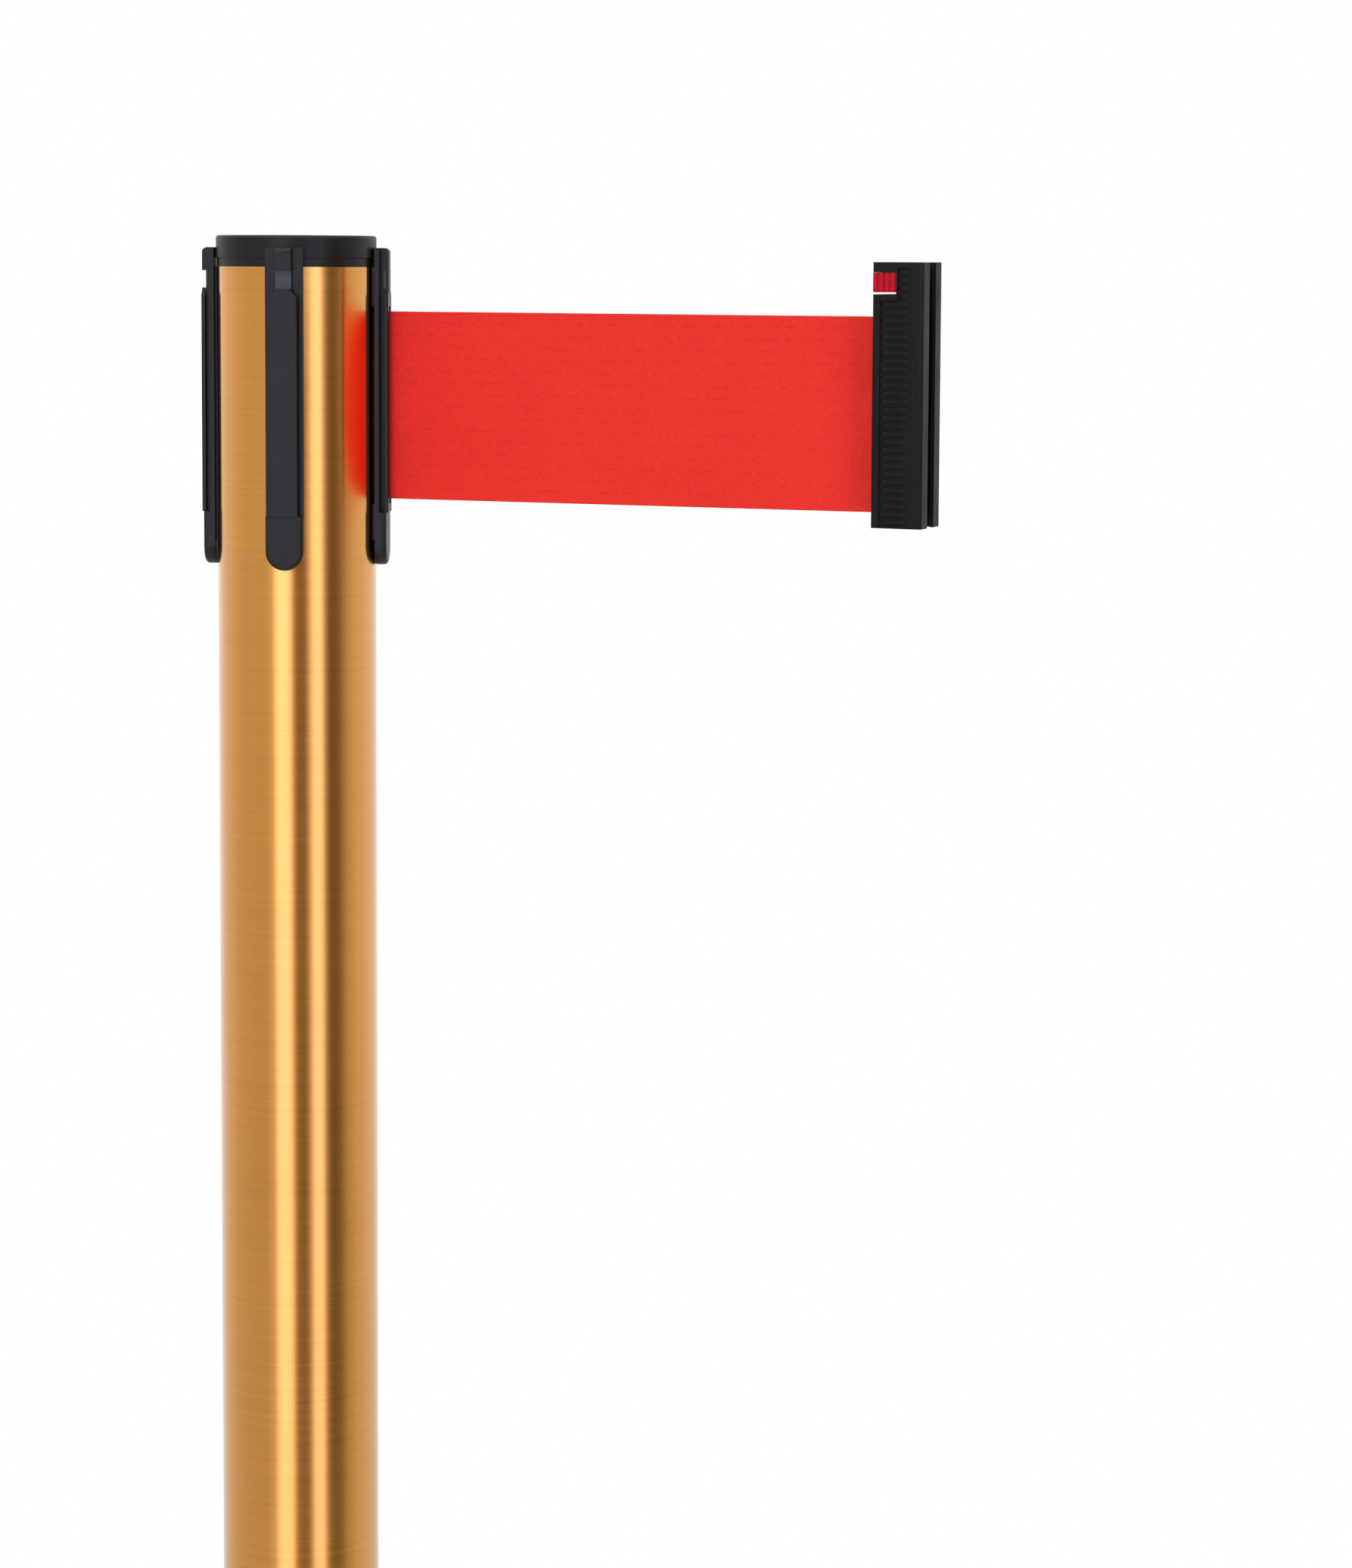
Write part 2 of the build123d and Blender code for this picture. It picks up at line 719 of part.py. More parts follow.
# ---------------------------------------------------------------- belt end


def end_box(u, v, z, mode=Mode.ADD):
    """A box given by its limits in the belt end's frame, with heights counted down from its top."""
    with Locations(((u[0] + u[1]) / 2, (v[0] + v[1]) / 2, end_top - (z[0] + z[1]) / 2)):
        Box(u[1] - u[0], v[1] - v[0], z[1] - z[0], mode=mode)


def anchor_bore(radius, mouth):
    """The keyhole seen from above: a bore around the anchor pin, opening to the back in a flared mouth."""
    with Locations((anchor_inset, 0)):
        Circle(radius)
    throat = mouth - (anchor_inset - radius / 2) * sin(radians(swivel_room))
    with BuildLine() as outline:
        Polyline(
            (-1, mouth),
            (anchor_inset - radius / 2, throat),
            (anchor_inset - radius / 2, -throat),
            (-1, -mouth),
            close=True,
        )
    make_face(outline.edges())


def make_end_body():
    """The belt end: a C channel that slides down a rail, a keyhole for the belt, and a seat for the latch."""
    cavity_end = end_depth - end_lip_thickness
    cavity_start = cavity_end - end_channel_depth
    notch_bottom = latch_top + latch_height + latch_slit
    hole_side = tongue_width / 2 + running_gap
    hole_top = latch_top + (latch_height - tongue_height) / 2
    with BuildPart(end_plane) as body:
        with BuildSketch(end_plane.offset(end_bottom)):
            with Locations((end_depth / 2, 0)):
                Rectangle(end_depth, end_width)
            with Locations(((cavity_start + cavity_end) / 2, 0)):
                Rectangle(end_channel_depth, end_channel_width, mode=Mode.SUBTRACT)
            with Locations((end_depth, 0)):
                Rectangle(2 * end_lip_thickness, end_lip_gap, mode=Mode.SUBTRACT)
        extrude(amount=end_height)
        fillet(end_corners(body), end_edge_round)
        end_box((-1, latch_length), (-end_width, end_width), (latch_top, notch_bottom), Mode.SUBTRACT)
        end_box(
            (latch_length - 1, cavity_start + 1),
            (-hole_side, hole_side),
            (hole_top - running_gap, hole_top + tongue_height + running_gap),
            Mode.SUBTRACT,
        )
        end_box(
            (latch_pocket_inset, latch_pocket_inset + latch_pocket_length),
            (-latch_pocket_width / 2, latch_pocket_width / 2),
            (latch_top - latch_pocket_height, latch_top + 0.5),
            Mode.SUBTRACT,
        )
        with BuildSketch(end_plane.offset(end_bottom)):
            anchor_bore(anchor_hole_radius, anchor_mouth)
        extrude(amount=belt_top + anchor_overlap - end_bottom, mode=Mode.SUBTRACT)
        add_grip_ribs()
    save(body.part, "belt_end_body")


def end_corners(body):
    """The four outer vertical edges of the belt end."""
    corners = []
    for u in (0, end_depth):
        for v in (-end_width / 2, end_width / 2):
            point = end_plane.from_local_coords(Vector(u, v, (end_bottom + end_top) / 2))
            corners.append(min(body.edges().filter_by(Axis.Z), key=lambda e: (e.center() - point).length))
    return corners


def rib_section(side, start, end):
    """One grip rib seen from above: flush with the belt end's side, with a ramp down at each end."""
    outer = side * end_width / 2
    floor = outer - side * rib_depth
    with BuildLine() as outline:
        Polyline(
            (start, floor - side * rib_root),
            (start, floor),
            (start + rib_back_ramp, outer),
            (end - rib_front_ramp, outer),
            (end, floor),
            (end, floor - side * rib_root),
            close=True,
        )
    make_face(outline.edges())


def add_grip_ribs():
    """Level grip ribs on both sides, standing in a shallow recess, alternate ones a little shorter."""
    first = rib_top_inset + rib_height / 2
    last = first + (rib_count - 1) * rib_pitch
    margin = rib_pitch / 2
    upper_end = first + short_rib_count * rib_pitch - margin
    short_start = latch_length + short_rib_inset
    for side in (-1, 1):
        outer = side * end_width / 2
        recess = sorted((outer - side * rib_depth, outer + side))
        for start, top, bottom in (
            (short_start, first - margin, upper_end),
            (rib_start, upper_end, last + margin),
        ):
            end_box((start - rib_margin, rib_end + rib_margin), recess, (top, bottom), Mode.SUBTRACT)
        for index in range(rib_count):
            start = short_start if index < short_rib_count else rib_start
            stagger = rib_stagger * (index % 2)
            bottom = end_top - first - index * rib_pitch - rib_height / 2
            with BuildSketch(end_plane.offset(bottom)) as section:
                rib_section(side, start + stagger, rib_end - stagger)
            extrude(section.sketch, amount=rib_height)


def make_end_details():
    """The plug under the anchor pin, the sprung latch with its tongue, and its spring."""
    with BuildPart(end_plane) as plug:
        with BuildSketch(end_plane.offset(end_bottom)):
            anchor_bore(anchor_hole_radius - seat_gap, anchor_mouth - seat_gap)
            with Locations((-2, 0)):
                Rectangle(4, end_width, mode=Mode.SUBTRACT)
        extrude(amount=belt_bottom - anchor_overlap - end_bottom)
    save(plug.part, "belt_end_plug")

    cavity_start = end_depth - end_lip_thickness - end_channel_depth
    half = end_width / 2
    slider_side = half - latch_rib_depth
    tongue_top = latch_top + (latch_height - tongue_height) / 2
    lug_end = latch_pocket_inset + latch_pocket_length - 2 * running_gap
    with BuildPart(end_plane) as slider:
        end_box(
            (running_gap, latch_length - running_gap),
            (-slider_side, slider_side),
            (latch_top + seat_gap, latch_top + latch_height),
        )
        rib_step = (latch_length - 2 * running_gap) / latch_rib_count
        for index in range(latch_rib_count):
            middle = running_gap + (index + 0.5) * rib_step
            end_box(
                (middle - latch_rib_width / 2, middle + latch_rib_width / 2),
                (-half, half),
                (latch_top + seat_gap, latch_top + latch_height),
            )
        end_box(
            (latch_length - 1, cavity_start + tongue_reach),
            (-tongue_width / 2, tongue_width / 2),
            (tongue_top, tongue_top + tongue_height),
        )
        tip_edge = slider.edges().filter_by(lambda e: abs(e.tangent_at(0.5).Z) < 0.01)
        tip = end_plane.from_local_coords(
            Vector(cavity_start + tongue_reach, 0, end_top - tongue_top - tongue_height)
        )
        chamfer(min(tip_edge, key=lambda e: (e.center() - tip).length), tongue_chamfer)
        end_box(
            (lug_end - latch_lug_length, lug_end),
            (-latch_pocket_width / 2 + running_gap, latch_pocket_width / 2 - running_gap),
            (latch_top - latch_pocket_height + 2 * running_gap, latch_top + 1),
        )
    save(slider.part, "latch_slider")

    spring_start = latch_pocket_inset + latch_spring_wire / 2 + seat_gap
    spring_end = lug_end - latch_lug_length - latch_spring_wire / 2 - seat_gap
    spring_length = spring_end - spring_start
    centre = end_plane.from_local_coords(
        Vector(spring_start, 0, end_top - latch_top + latch_pocket_height / 2)
    )
    with BuildPart() as spring:
        with BuildLine() as path:
            Helix(
                pitch=spring_length / latch_spring_coils,
                height=spring_length,
                radius=latch_spring_radius,
                center=centre,
                direction=heading(end_angle),
            )
        with BuildSketch(Plane(origin=path.line @ 0, z_dir=path.line % 0)):
            Circle(latch_spring_wire / 2)
        sweep(path=path.line, is_frenet=True)
    save(spring.part, "latch_spring")


make_base()
make_post()
make_rails()
make_cassette()
make_cap()
make_spool()
make_belt()
make_end_body()
make_end_details()
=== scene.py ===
"""Looks of the retractable belt stanchion: finishes, drawn belt, latch spring, studio and camera.

All sizes are in metres. The post stands along +Z, and the belt leaves its head along +X.
"""

import json
from math import cos, pi, radians, sin

import bpy
import numpy as np
from mathutils import Matrix, Vector


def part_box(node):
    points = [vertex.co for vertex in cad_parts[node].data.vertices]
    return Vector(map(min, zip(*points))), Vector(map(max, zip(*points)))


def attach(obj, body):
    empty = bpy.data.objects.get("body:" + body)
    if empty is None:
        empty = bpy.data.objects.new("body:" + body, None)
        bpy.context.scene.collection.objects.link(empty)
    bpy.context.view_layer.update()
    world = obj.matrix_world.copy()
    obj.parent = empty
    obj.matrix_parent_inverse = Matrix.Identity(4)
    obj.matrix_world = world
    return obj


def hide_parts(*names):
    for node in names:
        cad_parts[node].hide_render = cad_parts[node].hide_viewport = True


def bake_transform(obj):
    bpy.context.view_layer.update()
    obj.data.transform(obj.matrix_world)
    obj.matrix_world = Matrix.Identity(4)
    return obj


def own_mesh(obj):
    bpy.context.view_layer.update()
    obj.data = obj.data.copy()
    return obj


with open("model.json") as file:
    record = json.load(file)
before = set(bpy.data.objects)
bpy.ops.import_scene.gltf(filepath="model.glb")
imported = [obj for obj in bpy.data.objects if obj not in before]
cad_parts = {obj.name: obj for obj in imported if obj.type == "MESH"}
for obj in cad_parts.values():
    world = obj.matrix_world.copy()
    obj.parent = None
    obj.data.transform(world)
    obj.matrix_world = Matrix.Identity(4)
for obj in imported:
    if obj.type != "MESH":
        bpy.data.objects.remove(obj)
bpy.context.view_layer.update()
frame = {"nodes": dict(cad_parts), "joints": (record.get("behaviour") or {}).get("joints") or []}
joints = {joint["name"]: joint for joint in frame["joints"]}

# ---------------------------------------------------------------- camera and floor

lens = 0.085
film_height = 0.036  # the film's long side
camera_azimuth = -81.66  # where the camera stands, as an angle from +X around the post
camera_distance = 1.4948  # from the post's axis, level
camera_height = 0.992
camera_turn = 2.48  # how far its line of sight is turned from +Y
camera_pitch = 5.1  # how far it looks down
camera_roll = 0.3
camera_shift = -0.125  # up the film, as a share of its long side
floor_radius = 1.05
floor_fade = 0.35  # radius where the floor starts to fade out
floor_hub = 0.02  # radius of the flat face in its middle

# ---------------------------------------------------------------- colours

brass_shade = (0.80, 0.335, 0.042)
brass_light = (0.94, 0.43, 0.07)
plastic_glint = (1, 0.96, 0.8, 1)
# the dark thread colour is also the painted shade in the weave's hollows
thread_shade = (0.62, 0.008, 0.003)
thread_light = (0.98, 0.036, 0.018)

# ---------------------------------------------------------------- belt and latch spring

row_pitch = 0.0047  # between the dotted lines along the belt
twill_pitch = 0.0009  # between slanting stitches
belt_thickness = 0.00055
edge_band = 0.0008  # beside each edge, where the belt's profile has closer points
edge_steps, face_steps, drawn_steps = 8, 156, 140  # points over an edge band, between them, and along
selvedge_middle = 0.0007  # from the edge
selvedge_spread = 0.0005
selvedge_swell = 0.00006
row_swell = 0.00003
row_start = 0.003  # from the lower edge to the side of a row
row_margin = 0.002  # beside each edge, where no row swells
face_drop = 0.00004  # how far the face between the rows lies below the full thickness
spring_wire = 0.0001  # the wire's radius
spring_coils = 4
turn_steps, wire_sides = 40, 12

# ---------------------------------------------------------------- docking rails

rail_low, rail_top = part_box("receiver_front")
rail_face = -rail_low.y  # how far each rail's face stands from the post's axis
catch_depth = 0.0016
catch_height = 0.0069
catch_below_top = 0.0092

# ---------------------------------------------------------------- node materials


def add_node(tree, kind, inputs, **options):
    """Adds a shader node with these options and inputs; an input may be another node's output."""
    node = tree.nodes.new("ShaderNode" + kind)
    for option, value in options.items():
        setattr(node, option, value)
    for socket, value in inputs.items():
        if isinstance(value, bpy.types.NodeSocket):
            tree.links.new(value, node.inputs[socket])
        else:
            node.inputs[socket].default_value = value
    return node


class Finish:
    """A node material in the making. Each call adds nodes and gives back an output of the last one."""

    def __init__(self, name, settings):
        self.material = bpy.data.materials.new(name)
        self.material.use_nodes = True
        self.tree = self.material.node_tree
        self.shader = self.tree.nodes["Principled BSDF"]
        for socket, value in settings.items():
            self.shader.inputs[socket].default_value = value

    def node(self, kind, inputs, **options):
        """One node of this material."""
        return add_node(self.tree, kind, inputs, **options)

    def place(self, scale=(1, 1, 1), source="Object"):
        """Object or UV coordinates, stretched by this scale on each axis."""
        where = self.node("TexCoord", {}).outputs[source]
        return self.node("Mapping", {"Vector": where, "Scale": scale}).outputs["Vector"]

    def axes(self, source="Object"):
        """The three coordinates, one by one."""
        return self.node("SeparateXYZ", {0: self.place(source=source)}).outputs

    def noise(self, where, scale=1.0, detail=2.0, roughness=0.5):
        """Cloudy noise from 0 to 1."""
        inputs = {"Vector": where, "Scale": scale, "Detail": detail, "Roughness": roughness}
        return self.node("TexNoise", inputs).outputs["Fac"]

    def math(self, operation, first, second=0.0, third=0.0):
        """One sum, product or other operation on numbers."""
        return self.node("Math", {0: first, 1: second, 2: third}, operation=operation).outputs[0]

    def add(self, first, second):
        """Two numbers added."""
        return self.math("ADD", first, second)

    def times(self, first, second):
        """Two numbers multiplied."""
        return self.math("MULTIPLY", first, second)

    def wave(self, along, pitch):
        """A sine wave of this pitch, from -1 to 1."""
        return self.math("SINE", self.times(along, 2 * pi / pitch))

    def from_axis(self, x, y):
        """The distance from the post's axis."""
        return self.math("SQRT", self.add(self.times(x, x), self.times(y, y)))

    def spread(self, value, low, high, from_low=0.0, from_high=1.0):
        """The value moved from one range of numbers to another, and kept inside it."""
        inputs = {
            "Value": value,
            "From Min": from_low,
            "From Max": from_high,
            "To Min": low,
            "To Max": high,
        }
        return self.node("MapRange", inputs).outputs["Result"]

    def blend(self, share, first, second):
        """A colour between two colours."""
        ends = [c if isinstance(c, bpy.types.NodeSocket) else (*c, 1) for c in (first, second)]
        return self.node("Mix", {0: share, 6: ends[0], 7: ends[1]}, data_type="RGBA").outputs[2]

    def link(self, value, socket):
        """Wires a node's output to one of the shader's sockets."""
        self.tree.links.new(value, self.shader.inputs[socket])

    def relief(self, height, depth):
        """Small relief of this depth on the surface."""
        inputs = {"Height": height, "Distance": depth, "Strength": 1.0}
        self.link(self.node("Bump", inputs).outputs["Normal"], "Normal")


def lacquered_brass(name, lines, smooth, rough):
    """Brass under clear lacquer, brushed in level rings around the post, so highlights run up and down it."""
    f = Finish(
        name,
        {
            "Metallic": 1.0,
            "Anisotropic": 0.85,
            "Anisotropic Rotation": 0.25,
            "Coat Weight": 1.0,
            "Coat Roughness": 0.16,
        },
    )
    strokes = lines(f)
    cloud = f.noise(f.place((18, 18, 12)), detail=4)
    tone = f.add(f.times(strokes, 0.75), f.times(cloud, 0.25))
    f.link(f.blend(f.spread(tone, 0, 1, 0.25, 0.75), brass_shade, brass_light), "Base Color")
    f.link(f.spread(tone, smooth, rough, 0.3, 0.7), "Roughness")
    f.link(f.node("Tangent", {}, direction_type="RADIAL", axis="Z").outputs[0], "Tangent")
    f.relief(strokes, depth=0.000012)
    return f.material


def tube_strokes(f):
    """Brush strokes on the tube: long and level, fine ones over broader ones."""
    fine = f.noise(f.place((11, 11, 3000)), detail=3)
    broad = f.noise(f.place((6, 6, 520)), detail=3, roughness=0.6)
    return f.add(f.times(fine, 0.55), f.times(broad, 0.45))


def lathe_strokes(f):
    """Fine rings left by the lathe, from the distance to the post's axis and the height."""
    x, y, z = f.axes()
    rings = {0: f.times(x, 5), 1: f.times(f.from_axis(x, y), 1300), 2: f.times(z, 1300)}
    return f.noise(f.node("CombineXYZ", rings).outputs[0], detail=4, roughness=0.65)


def moulded_plastic(name, dark, light, rough, level, grain=0.00035, depth=0.00001, rub_and_sheen=None):
    """Moulded plastic or rubber: a grain of this size and slightly uneven gloss, polished where a rub mask is
    given, with a painted reflection that lightens its colour there.
    """
    f = Finish(name, {"Specular IOR Level": level, "Specular Tint": plastic_glint})
    pits = f.noise(f.place(), scale=1 / grain, detail=2)
    cloud = f.noise(f.place(), scale=60, detail=4)
    colour = f.blend(cloud, dark, light)
    gloss = f.add(f.spread(cloud, rough - 0.06, rough + 0.06, 0.3, 0.7), f.spread(pits, -0.03, 0.03))
    if rub_and_sheen:
        share = rub_and_sheen(f)
        # painted reflection: the rubbed place's colour is lightened fourfold; its lower roughness below is the
        # real polish
        colour = f.blend(share, colour, tuple(part * 4 for part in light))
        gloss = f.math("SUBTRACT", gloss, f.times(share, 0.15))
    f.link(colour, "Base Color")
    f.link(gloss, "Roughness")
    f.relief(pits, depth)
    return f.material


def latch_rub_and_painted_sheen(f):
    """1 on the floor of each rail's catch notch, where latch tongues rub, and 0 elsewhere: that floor is made
    glossier and gets a painted reflection in its colour.
    """
    x, y, z = f.axes()
    reach = f.math("MAXIMUM", f.math("ABSOLUTE", x), f.math("ABSOLUTE", y))
    on_floor = f.math("COMPARE", reach, rail_face - catch_depth, 0.0004)
    middle = rail_top.z - catch_below_top - catch_height / 2
    return f.times(on_floor, f.math("COMPARE", z, middle, catch_height / 2))


def rough_metal(name, dark, light, rough, grain, depth, stretch=(1, 1, 1)):
    """Cast, plated, ground or tempered metal: a grain of this size, with uneven colour and gloss."""
    f = Finish(name, {"Metallic": 1.0})
    grains = f.noise(f.place(stretch), scale=1 / grain, detail=4, roughness=0.6)
    cloud = f.noise(f.place(), scale=45, detail=3)
    f.link(f.blend(f.times(f.add(grains, cloud), 0.5), dark, light), "Base Color")
    f.link(f.spread(grains, rough - 0.07, rough + 0.07, 0.3, 0.7), "Roughness")
    f.relief(grains, depth)
    return f.material


def webbing(name, along, across, source):
    """Woven belt: slanting stitches in rows that turn back at each dotted line, on coordinates of this source.

    Along and across are the numbers of the coordinates that run with the belt and over its width.
    """
    f = Finish(
        name,
        {
            "Roughness": 0.72,
            "Specular IOR Level": 0.25,
            "Sheen Weight": 0.35,
            "Sheen Roughness": 0.45,
            "Sheen Tint": (1.0, 0.35, 0.3, 1),
        },
    )
    parts = f.axes(source)
    lengthwise, crosswise = parts[along], parts[across]
    slope = f.times(f.math("PINGPONG", crosswise, row_pitch), 0.8)
    slant = f.wave(f.add(lengthwise, slope), twill_pitch)
    threads = f.wave(crosswise, twill_pitch * 0.45)
    off_middle = f.math("SUBTRACT", f.math("MODULO", crosswise, row_pitch), row_pitch / 2)
    line = f.spread(f.math("ABSOLUTE", off_middle), 0, 1, row_pitch * 0.36, row_pitch * 0.5)
    dots = f.times(line, f.spread(f.wave(lengthwise, twill_pitch * 1.1), 0, 1, -0.2, 1))
    height = f.add(f.times(slant, 0.35), f.add(f.times(threads, 0.15), dots))
    fuzz = f.noise(f.place(), scale=900, detail=2)
    cloud = f.noise(f.place(), scale=30, detail=3)
    missed = f.spread(f.noise(f.place(), scale=420, detail=1), 0, 1, 0.42, 0.6)
    stitches = f.times(f.times(dots, missed), 0.7)
    uneven = f.add(f.spread(fuzz, -0.2, 0.2), f.spread(cloud, -0.12, 0.12))
    # painted shade: the colour darkens where the weave's relief is low, between threads; fuzz and cloud add real
    # uneven tone
    tone = f.add(f.spread(height, 0.3, 0.8, -0.5, 1.4), uneven)
    f.link(f.blend(f.math("SUBTRACT", tone, stitches), thread_shade, thread_light), "Base Color")
    f.relief(f.add(height, f.times(fuzz, 0.4)), depth=0.00004)
    return f.material


def grey(level, blue=None):
    """A neutral colour of this level, with its blue part set apart where that is given."""
    return (level, level, level if blue is None else blue)


finishes = {
    "brushed_brass": lacquered_brass("brushed brass", tube_strokes, smooth=0.17, rough=0.25),
    "spun_brass": lacquered_brass("spun brass", lathe_strokes, smooth=0.16, rough=0.27),
    "black_plastic": moulded_plastic(
        "black plastic", grey(0.0045), grey(0.009), rough=0.38, level=0.3, rub_and_sheen=latch_rub_and_painted_sheen
    ),
    "grey_nylon": moulded_plastic(
        "grey nylon", grey(0.30, 0.29), grey(0.38, 0.36), rough=0.5, level=0.4
    ),
    "latch_red": moulded_plastic(
        "latch red", (0.43, 0.0005, 0.010), (0.52, 0.002, 0.016), rough=0.36, level=0.2
    ),
    "floor_rubber": moulded_plastic(
        "floor rubber", grey(0.012), grey(0.02), rough=0.75, level=0.35, grain=0.0006, depth=0.00002
    ),
    "brake_felt": moulded_plastic(
        "brake felt", (0.10, 0.09, 0.08), (0.19, 0.17, 0.15), rough=0.95, level=0.1, grain=0.0009,
        depth=0.0001,
    ),
    "cast_iron": rough_metal(
        "cast iron", grey(0.05, 0.055), (0.13, 0.125, 0.12), rough=0.62, grain=0.0012, depth=0.00006
    ),
    "zinc_steel": rough_metal(
        "zinc steel", (0.50, 0.52, 0.55), (0.68, 0.69, 0.70), rough=0.3, grain=0.0008, depth=0.000004
    ),
    "ground_steel": rough_metal(
        "ground steel", grey(0.45, 0.46), grey(0.62, 0.63), rough=0.22, grain=0.004, depth=0.000003,
        stretch=(1, 1, 25),
    ),
    "spring_steel": rough_metal(
        "spring steel", (0.10, 0.13, 0.22), (0.22, 0.24, 0.30), rough=0.28, grain=0.003, depth=0.000003,
        stretch=(1, 1, 18),
    ),
    "belt_red": webbing("wound webbing", along=0, across=2, source="Object"),
}
# painted shade: the belt end's plastic has a weaker, rougher gloss so that it looks darker
belt_end_shaded_plastic = moulded_plastic("belt end shaded plastic", grey(0.0058), grey(0.011), rough=0.44, level=0.14)


def dress_node(name, node):
    """Gives a CAD node the finish of each of its slots; the belt end's plastic has a weaker, rougher gloss,
    which dims it as painted shade.
    """
    for slot in node.material_slots:
        dimmed_as_shade = name in ("belt_end_body", "belt_end_plug")
        slot.material = belt_end_shaded_plastic if dimmed_as_shade else finishes[slot.material.name]


def round_edges(name, radius):
    """Breaks a CAD node's sharp edges: its triangles are joined into flat faces, then the edges are rounded."""
    node = frame["nodes"][name]
    join = node.modifiers.new("join corners", "WELD")
    join.merge_threshold = 0.000005
    flatten = node.modifiers.new("flat faces", "DECIMATE")
    flatten.decimate_type, flatten.angle_limit = "DISSOLVE", radians(0.3)
    edges = node.modifiers.new("broken edges", "BEVEL")
    edges.width, edges.segments, edges.limit_method, edges.angle_limit = radius, 2, "ANGLE", radians(35)


for name, node in frame["nodes"].items():
    dress_node(name, node)
for name in ("receiver_back", "receiver_left", "receiver_front", "belt_exit_guide"):
    round_edges(name, 0.0002)
round_edges("belt_end_body", 0.00018)
round_edges("latch_slider", 0.00025)

# ---------------------------------------------------------------- surfaces


def grid_faces(rows, columns):
    """Quads over a grid of points numbered row by row, whose columns close into a ring."""
    r = np.arange(rows - 1)[:, None] * columns
    c = np.arange(columns)[None, :]
    beside = (c + 1) % columns
    return np.stack([r + c, r + beside, r + columns + beside, r + columns + c], axis=-1).reshape(-1, 4)


def capped_faces(rows, columns):
    """The same quads, with a flat face over the first ring and the last."""
    first = np.arange(columns)
    last = first + (rows - 1) * columns
    return grid_faces(rows, columns).tolist() + [first[::-1].tolist(), last.tolist()]


def make_piece(name, points, faces, finish, uv=None):
    """Puts points and faces into a smooth mesh object at the origin, with an optional UV for each point."""
    mesh = bpy.data.meshes.new(name)
    mesh.from_pydata(points.reshape(-1, 3).tolist(), [], faces)
    mesh.materials.append(finish)
    if uv is not None:
        layer = mesh.uv_layers.new(name="cloth")
        corners = np.empty(len(mesh.loops), np.int32)
        mesh.loops.foreach_get("vertex_index", corners)
        layer.data.foreach_set("uv", uv.reshape(-1, 2)[corners].astype(np.float32).ravel())
    mesh.shade_smooth()
    piece = bpy.data.objects.new(name, mesh)
    bpy.context.scene.collection.objects.link(piece)
    return piece


def webbing_strip():
    """The drawn belt: a flat closed profile carried straight along the belt's line.

    The half thickness falls off as a quarter circle at both edges, swells as a bell curve in a thin
    selvedge beside them, and rises a little along the middle of each woven row as a cosine.
    """
    exit_point = Vector(joints["belt_swing"]["pos_m"])
    line = Vector(joints["belt_pull"]["axis"])
    low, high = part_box("belt_span")
    width = high.z - low.z
    start, end = (low.x - exit_point.x) / line.x, (high.x - exit_point.x) / line.x
    v = np.concatenate(
        [
            np.linspace(0, edge_band, edge_steps)[:-1],
            np.linspace(edge_band, width - edge_band, face_steps),
            np.linspace(width - edge_band, width, edge_steps)[1:],
        ]
    )
    inside = np.minimum(v, width - v)
    depth_in = np.minimum(inside / (belt_thickness / 2), 1)
    round_off = np.sqrt(np.clip(1 - (1 - depth_in) ** 2, 0, 1))
    selvedge = selvedge_swell * np.exp(-(((inside - selvedge_middle) / selvedge_spread) ** 2))
    wave = 0.5 - 0.5 * np.cos(2 * np.pi * (v - row_start) / row_pitch)
    rows = row_swell * wave * (inside > row_margin)
    half = (belt_thickness / 2 - face_drop + selvedge + rows) * round_off
    across = np.concatenate([v, v[-2:0:-1]])
    depth = np.concatenate([half, -half[-2:0:-1]])
    along = np.linspace(start, end, drawn_steps)
    side = Vector((0, 0, 1)).cross(line)
    points = (
        np.array(exit_point * Vector((1, 1, 0)))[None, None, :]
        + along[:, None, None] * np.array(line)
        + depth[None, :, None] * np.array(side)
    )
    points[:, :, 2] = low.z + across[None, :]
    uv = np.stack(np.broadcast_arrays(along[:, None], across[None, :]), axis=-1)
    cloth = webbing("drawn webbing", along=0, across=1, source="UV")
    piece = make_piece("belt_webbing", points, capped_faces(len(along), len(across)), cloth, uv)
    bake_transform(piece)
    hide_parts("belt_span")


def latch_coil():
    """The latch's spring: a round wire carried along a helix, which turns evenly around the belt end's line.
    """
    line = -np.array(joints["latch_slide"]["axis"])
    low, high = (np.array(corner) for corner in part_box("latch_spring"))
    outer = (high[2] - low[2]) / 2
    helix = outer - spring_wire
    length = (high[0] - low[0] - 2 * outer * abs(line[1])) / line[0]
    run = length - 2 * spring_wire
    start = (low + high) / 2 - line * length / 2
    upright = np.array((0.0, 0.0, 1.0))
    share = np.linspace(0, 1, spring_coils * turn_steps + 1)[:, None]
    turn = 2 * np.pi * spring_coils * share
    spoke = np.cos(turn) * upright + np.sin(turn) * np.cross(line, upright)
    ahead = run * line + 2 * np.pi * spring_coils * helix * np.cross(line, spoke)
    ahead /= np.linalg.norm(ahead, axis=1)[:, None]
    middle = start + line * (spring_wire + run * share) + helix * spoke
    around = np.linspace(0, 2 * np.pi, wire_sides, endpoint=False)[None, :, None]
    section = np.cos(around) * spoke[:, None] + np.sin(around) * np.cross(ahead, spoke)[:, None]
    points = middle[:, None] + spring_wire * section
    piece = make_piece("latch_coil", points, capped_faces(*points.shape[:2]), finishes["spring_steel"])
    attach(piece, "belt_end")
    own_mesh(piece)
    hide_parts("latch_spring")


# ---------------------------------------------------------------- floor, light and camera


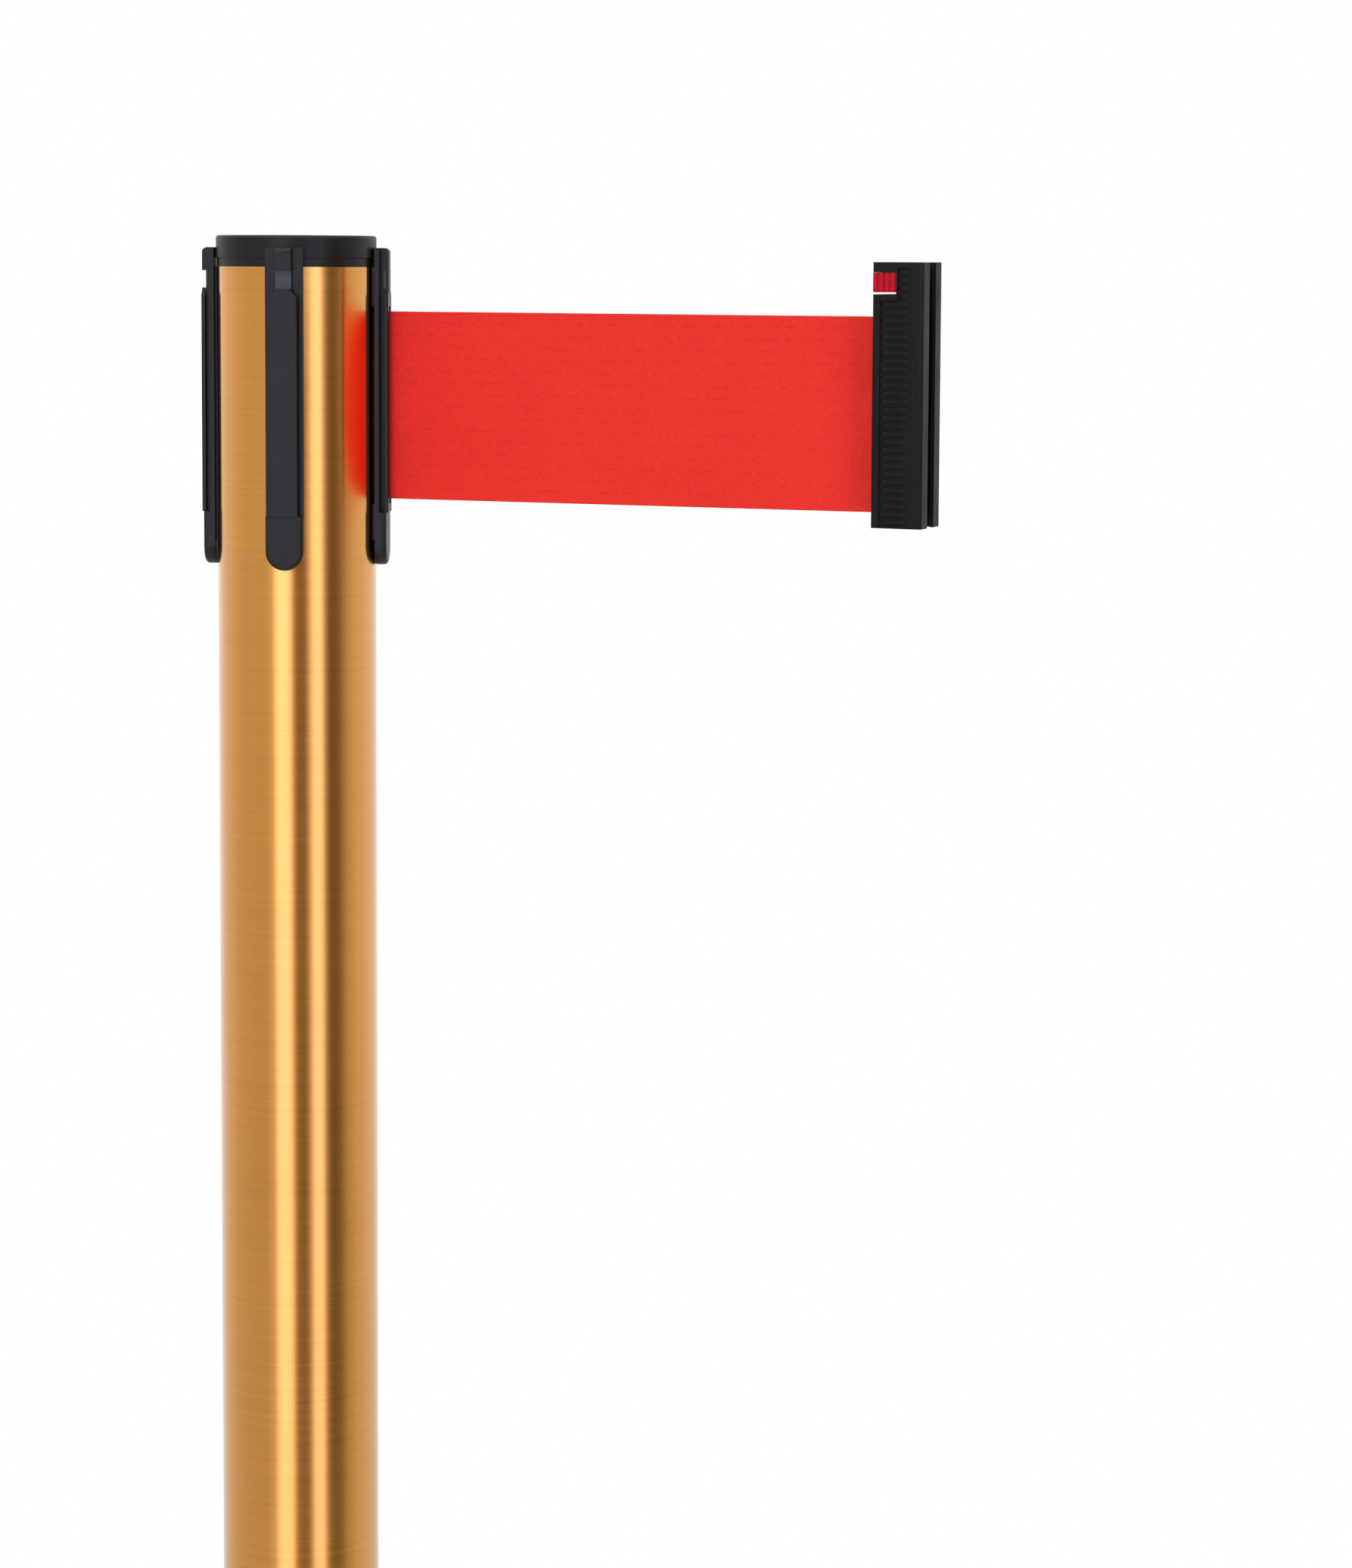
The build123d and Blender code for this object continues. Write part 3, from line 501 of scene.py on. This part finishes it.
def make_floor():
    """A pale disc that fades out towards its rim."""
    f = Finish("studio floor", {"Base Color": (0.82, 0.82, 0.83, 1), "Roughness": 0.6})
    x, y, _ = f.axes()
    f.link(f.spread(f.from_axis(x, y), 1, 0, floor_fade, floor_radius), "Alpha")
    angles = np.linspace(0, 2 * np.pi, 96, endpoint=False)
    radii = np.linspace(floor_hub, floor_radius, 12)[:, None]
    level = np.broadcast_arrays(radii * np.cos(angles), radii * np.sin(angles), 0.0)
    faces = grid_faces(len(radii), len(angles))[:, ::-1].tolist()
    faces.append(list(range(len(angles))))
    make_piece("studio_floor", np.stack(level, axis=-1), faces, f.material)


def make_studio():
    """Soft studio light as a world: bright panels and dark flags stand around the post, with a bright ceiling.

    Each step gives an angle from the camera's side, growing to the viewer's right, and the light from
    there. The ceiling is brighter on the camera's side. The camera itself sees plain white.
    """
    world = bpy.data.worlds.new("studio")
    world.use_nodes = True
    bpy.context.scene.world = world
    tree = world.node_tree
    tree.nodes.clear()

    def add(kind, inputs, **options):
        """One node of the world."""
        return add_node(tree, kind, inputs, **options)

    strongest = 2.2
    panel, flag, wall = (0.92, 0.97, 1.4), (1.0, 0.82, 0.75), (1, 1, 1)
    steps = [
        (-180, 1.0, wall), (-150, 0.92, wall), (-120, 0.8, wall), (-90, 0.68, wall), (-50, 0.62, wall),
        (-40, 0.8, wall), (-30, 2.1, panel), (-14, 2.05, panel), (-7, 0.75, wall), (-1, 0.3, flag),
        (12, 0.22, flag), (18, 1.0, panel), (24, 1.95, panel), (33, 1.9, panel), (40, 0.55, wall),
        (46, 0.2, flag), (54, 0.17, flag), (62, 0.25, flag), (77, 0.58, wall), (90, 0.75, wall),
        (120, 0.86, wall), (180, 1.0, wall),
    ]
    direction = {
        "Vector": add("TexCoord", {}).outputs["Generated"],
        "Rotation": (0, 0, -radians(camera_azimuth)),
    }
    x, y, z = add("SeparateXYZ", {0: add("Mapping", direction).outputs[0]}).outputs
    angle = add("Math", {0: y, 1: x}, operation="ARCTAN2").outputs[0]
    share = add("MapRange", {"Value": angle, "From Min": -pi, "From Max": pi}).outputs[0]
    ramp = add("ValToRGB", {"Fac": share})
    stops = ramp.color_ramp.elements
    while len(stops) < len(steps):
        stops.new(1)
    for stop, (step, light, tint) in zip(stops, steps):
        stop.position = (step + 180) / 360
        stop.color = (*(light / strongest * part for part in tint), 1)

    side = {"Value": x, "From Min": -0.5, "From Max": 0.6, "To Min": 0.3, "To Max": 0.95}
    key = add("MapRange", side, interpolation_type="SMOOTHSTEP").outputs[0]
    ceiling = add("CombineColor", {0: key, 1: key, 2: key}).outputs[0]
    height = {"Value": z, "From Min": sin(radians(22)), "From Max": sin(radians(42))}
    overhead = add("MapRange", height, interpolation_type="SMOOTHSTEP").outputs[0]
    light = add("Mix", {0: overhead, 6: ramp.outputs[0], 7: ceiling}, data_type="RGBA").outputs[2]

    below = {"Value": z, "From Min": -0.35, "From Max": 0.0, "To Min": 0.78, "To Max": 1.0}
    dimming = add("MapRange", below).outputs[0]
    strength = add("Math", {0: dimming, 1: strongest}, operation="MULTIPLY").outputs[0]
    studio = add("Background", {"Color": light, "Strength": strength}).outputs[0]
    plain = add("Background", {"Color": (1, 1, 1, 1), "Strength": 1.0}).outputs[0]
    seen = add("LightPath", {}).outputs["Is Camera Ray"]
    both = add("MixShader", {0: seen, 1: studio, 2: plain}).outputs[0]
    tree.links.new(both, add("OutputWorld", {}).inputs[0])


def make_camera():
    """A long lens level with the head, a little to the right of the post, looking slightly down."""
    data = bpy.data.cameras.new("camera")
    data.lens, data.sensor_width = lens * 1000, film_height * 1000
    data.shift_y = camera_shift
    data.clip_start, data.clip_end = 0.05, 50
    turn, pitch, roll = radians(camera_turn), radians(camera_pitch), radians(camera_roll)
    forward = Vector((-sin(turn) * cos(pitch), cos(turn) * cos(pitch), -sin(pitch)))
    level = Vector((cos(turn), sin(turn), 0))
    upright = level.cross(forward)
    right, up = level * cos(roll) + upright * sin(roll), upright * cos(roll) - level * sin(roll)
    azimuth = radians(camera_azimuth)
    place = Vector((cos(azimuth) * camera_distance, sin(azimuth) * camera_distance, camera_height))
    camera = bpy.data.objects.new("camera", data)
    camera.matrix_world = Matrix.Translation(place) @ Matrix((right, up, -forward)).transposed().to_4x4()
    bpy.context.scene.collection.objects.link(camera)
    bpy.context.scene.camera = camera


webbing_strip()
latch_coil()
make_floor()
make_studio()
make_camera()
bpy.context.scene.view_settings.view_transform = "Standard"
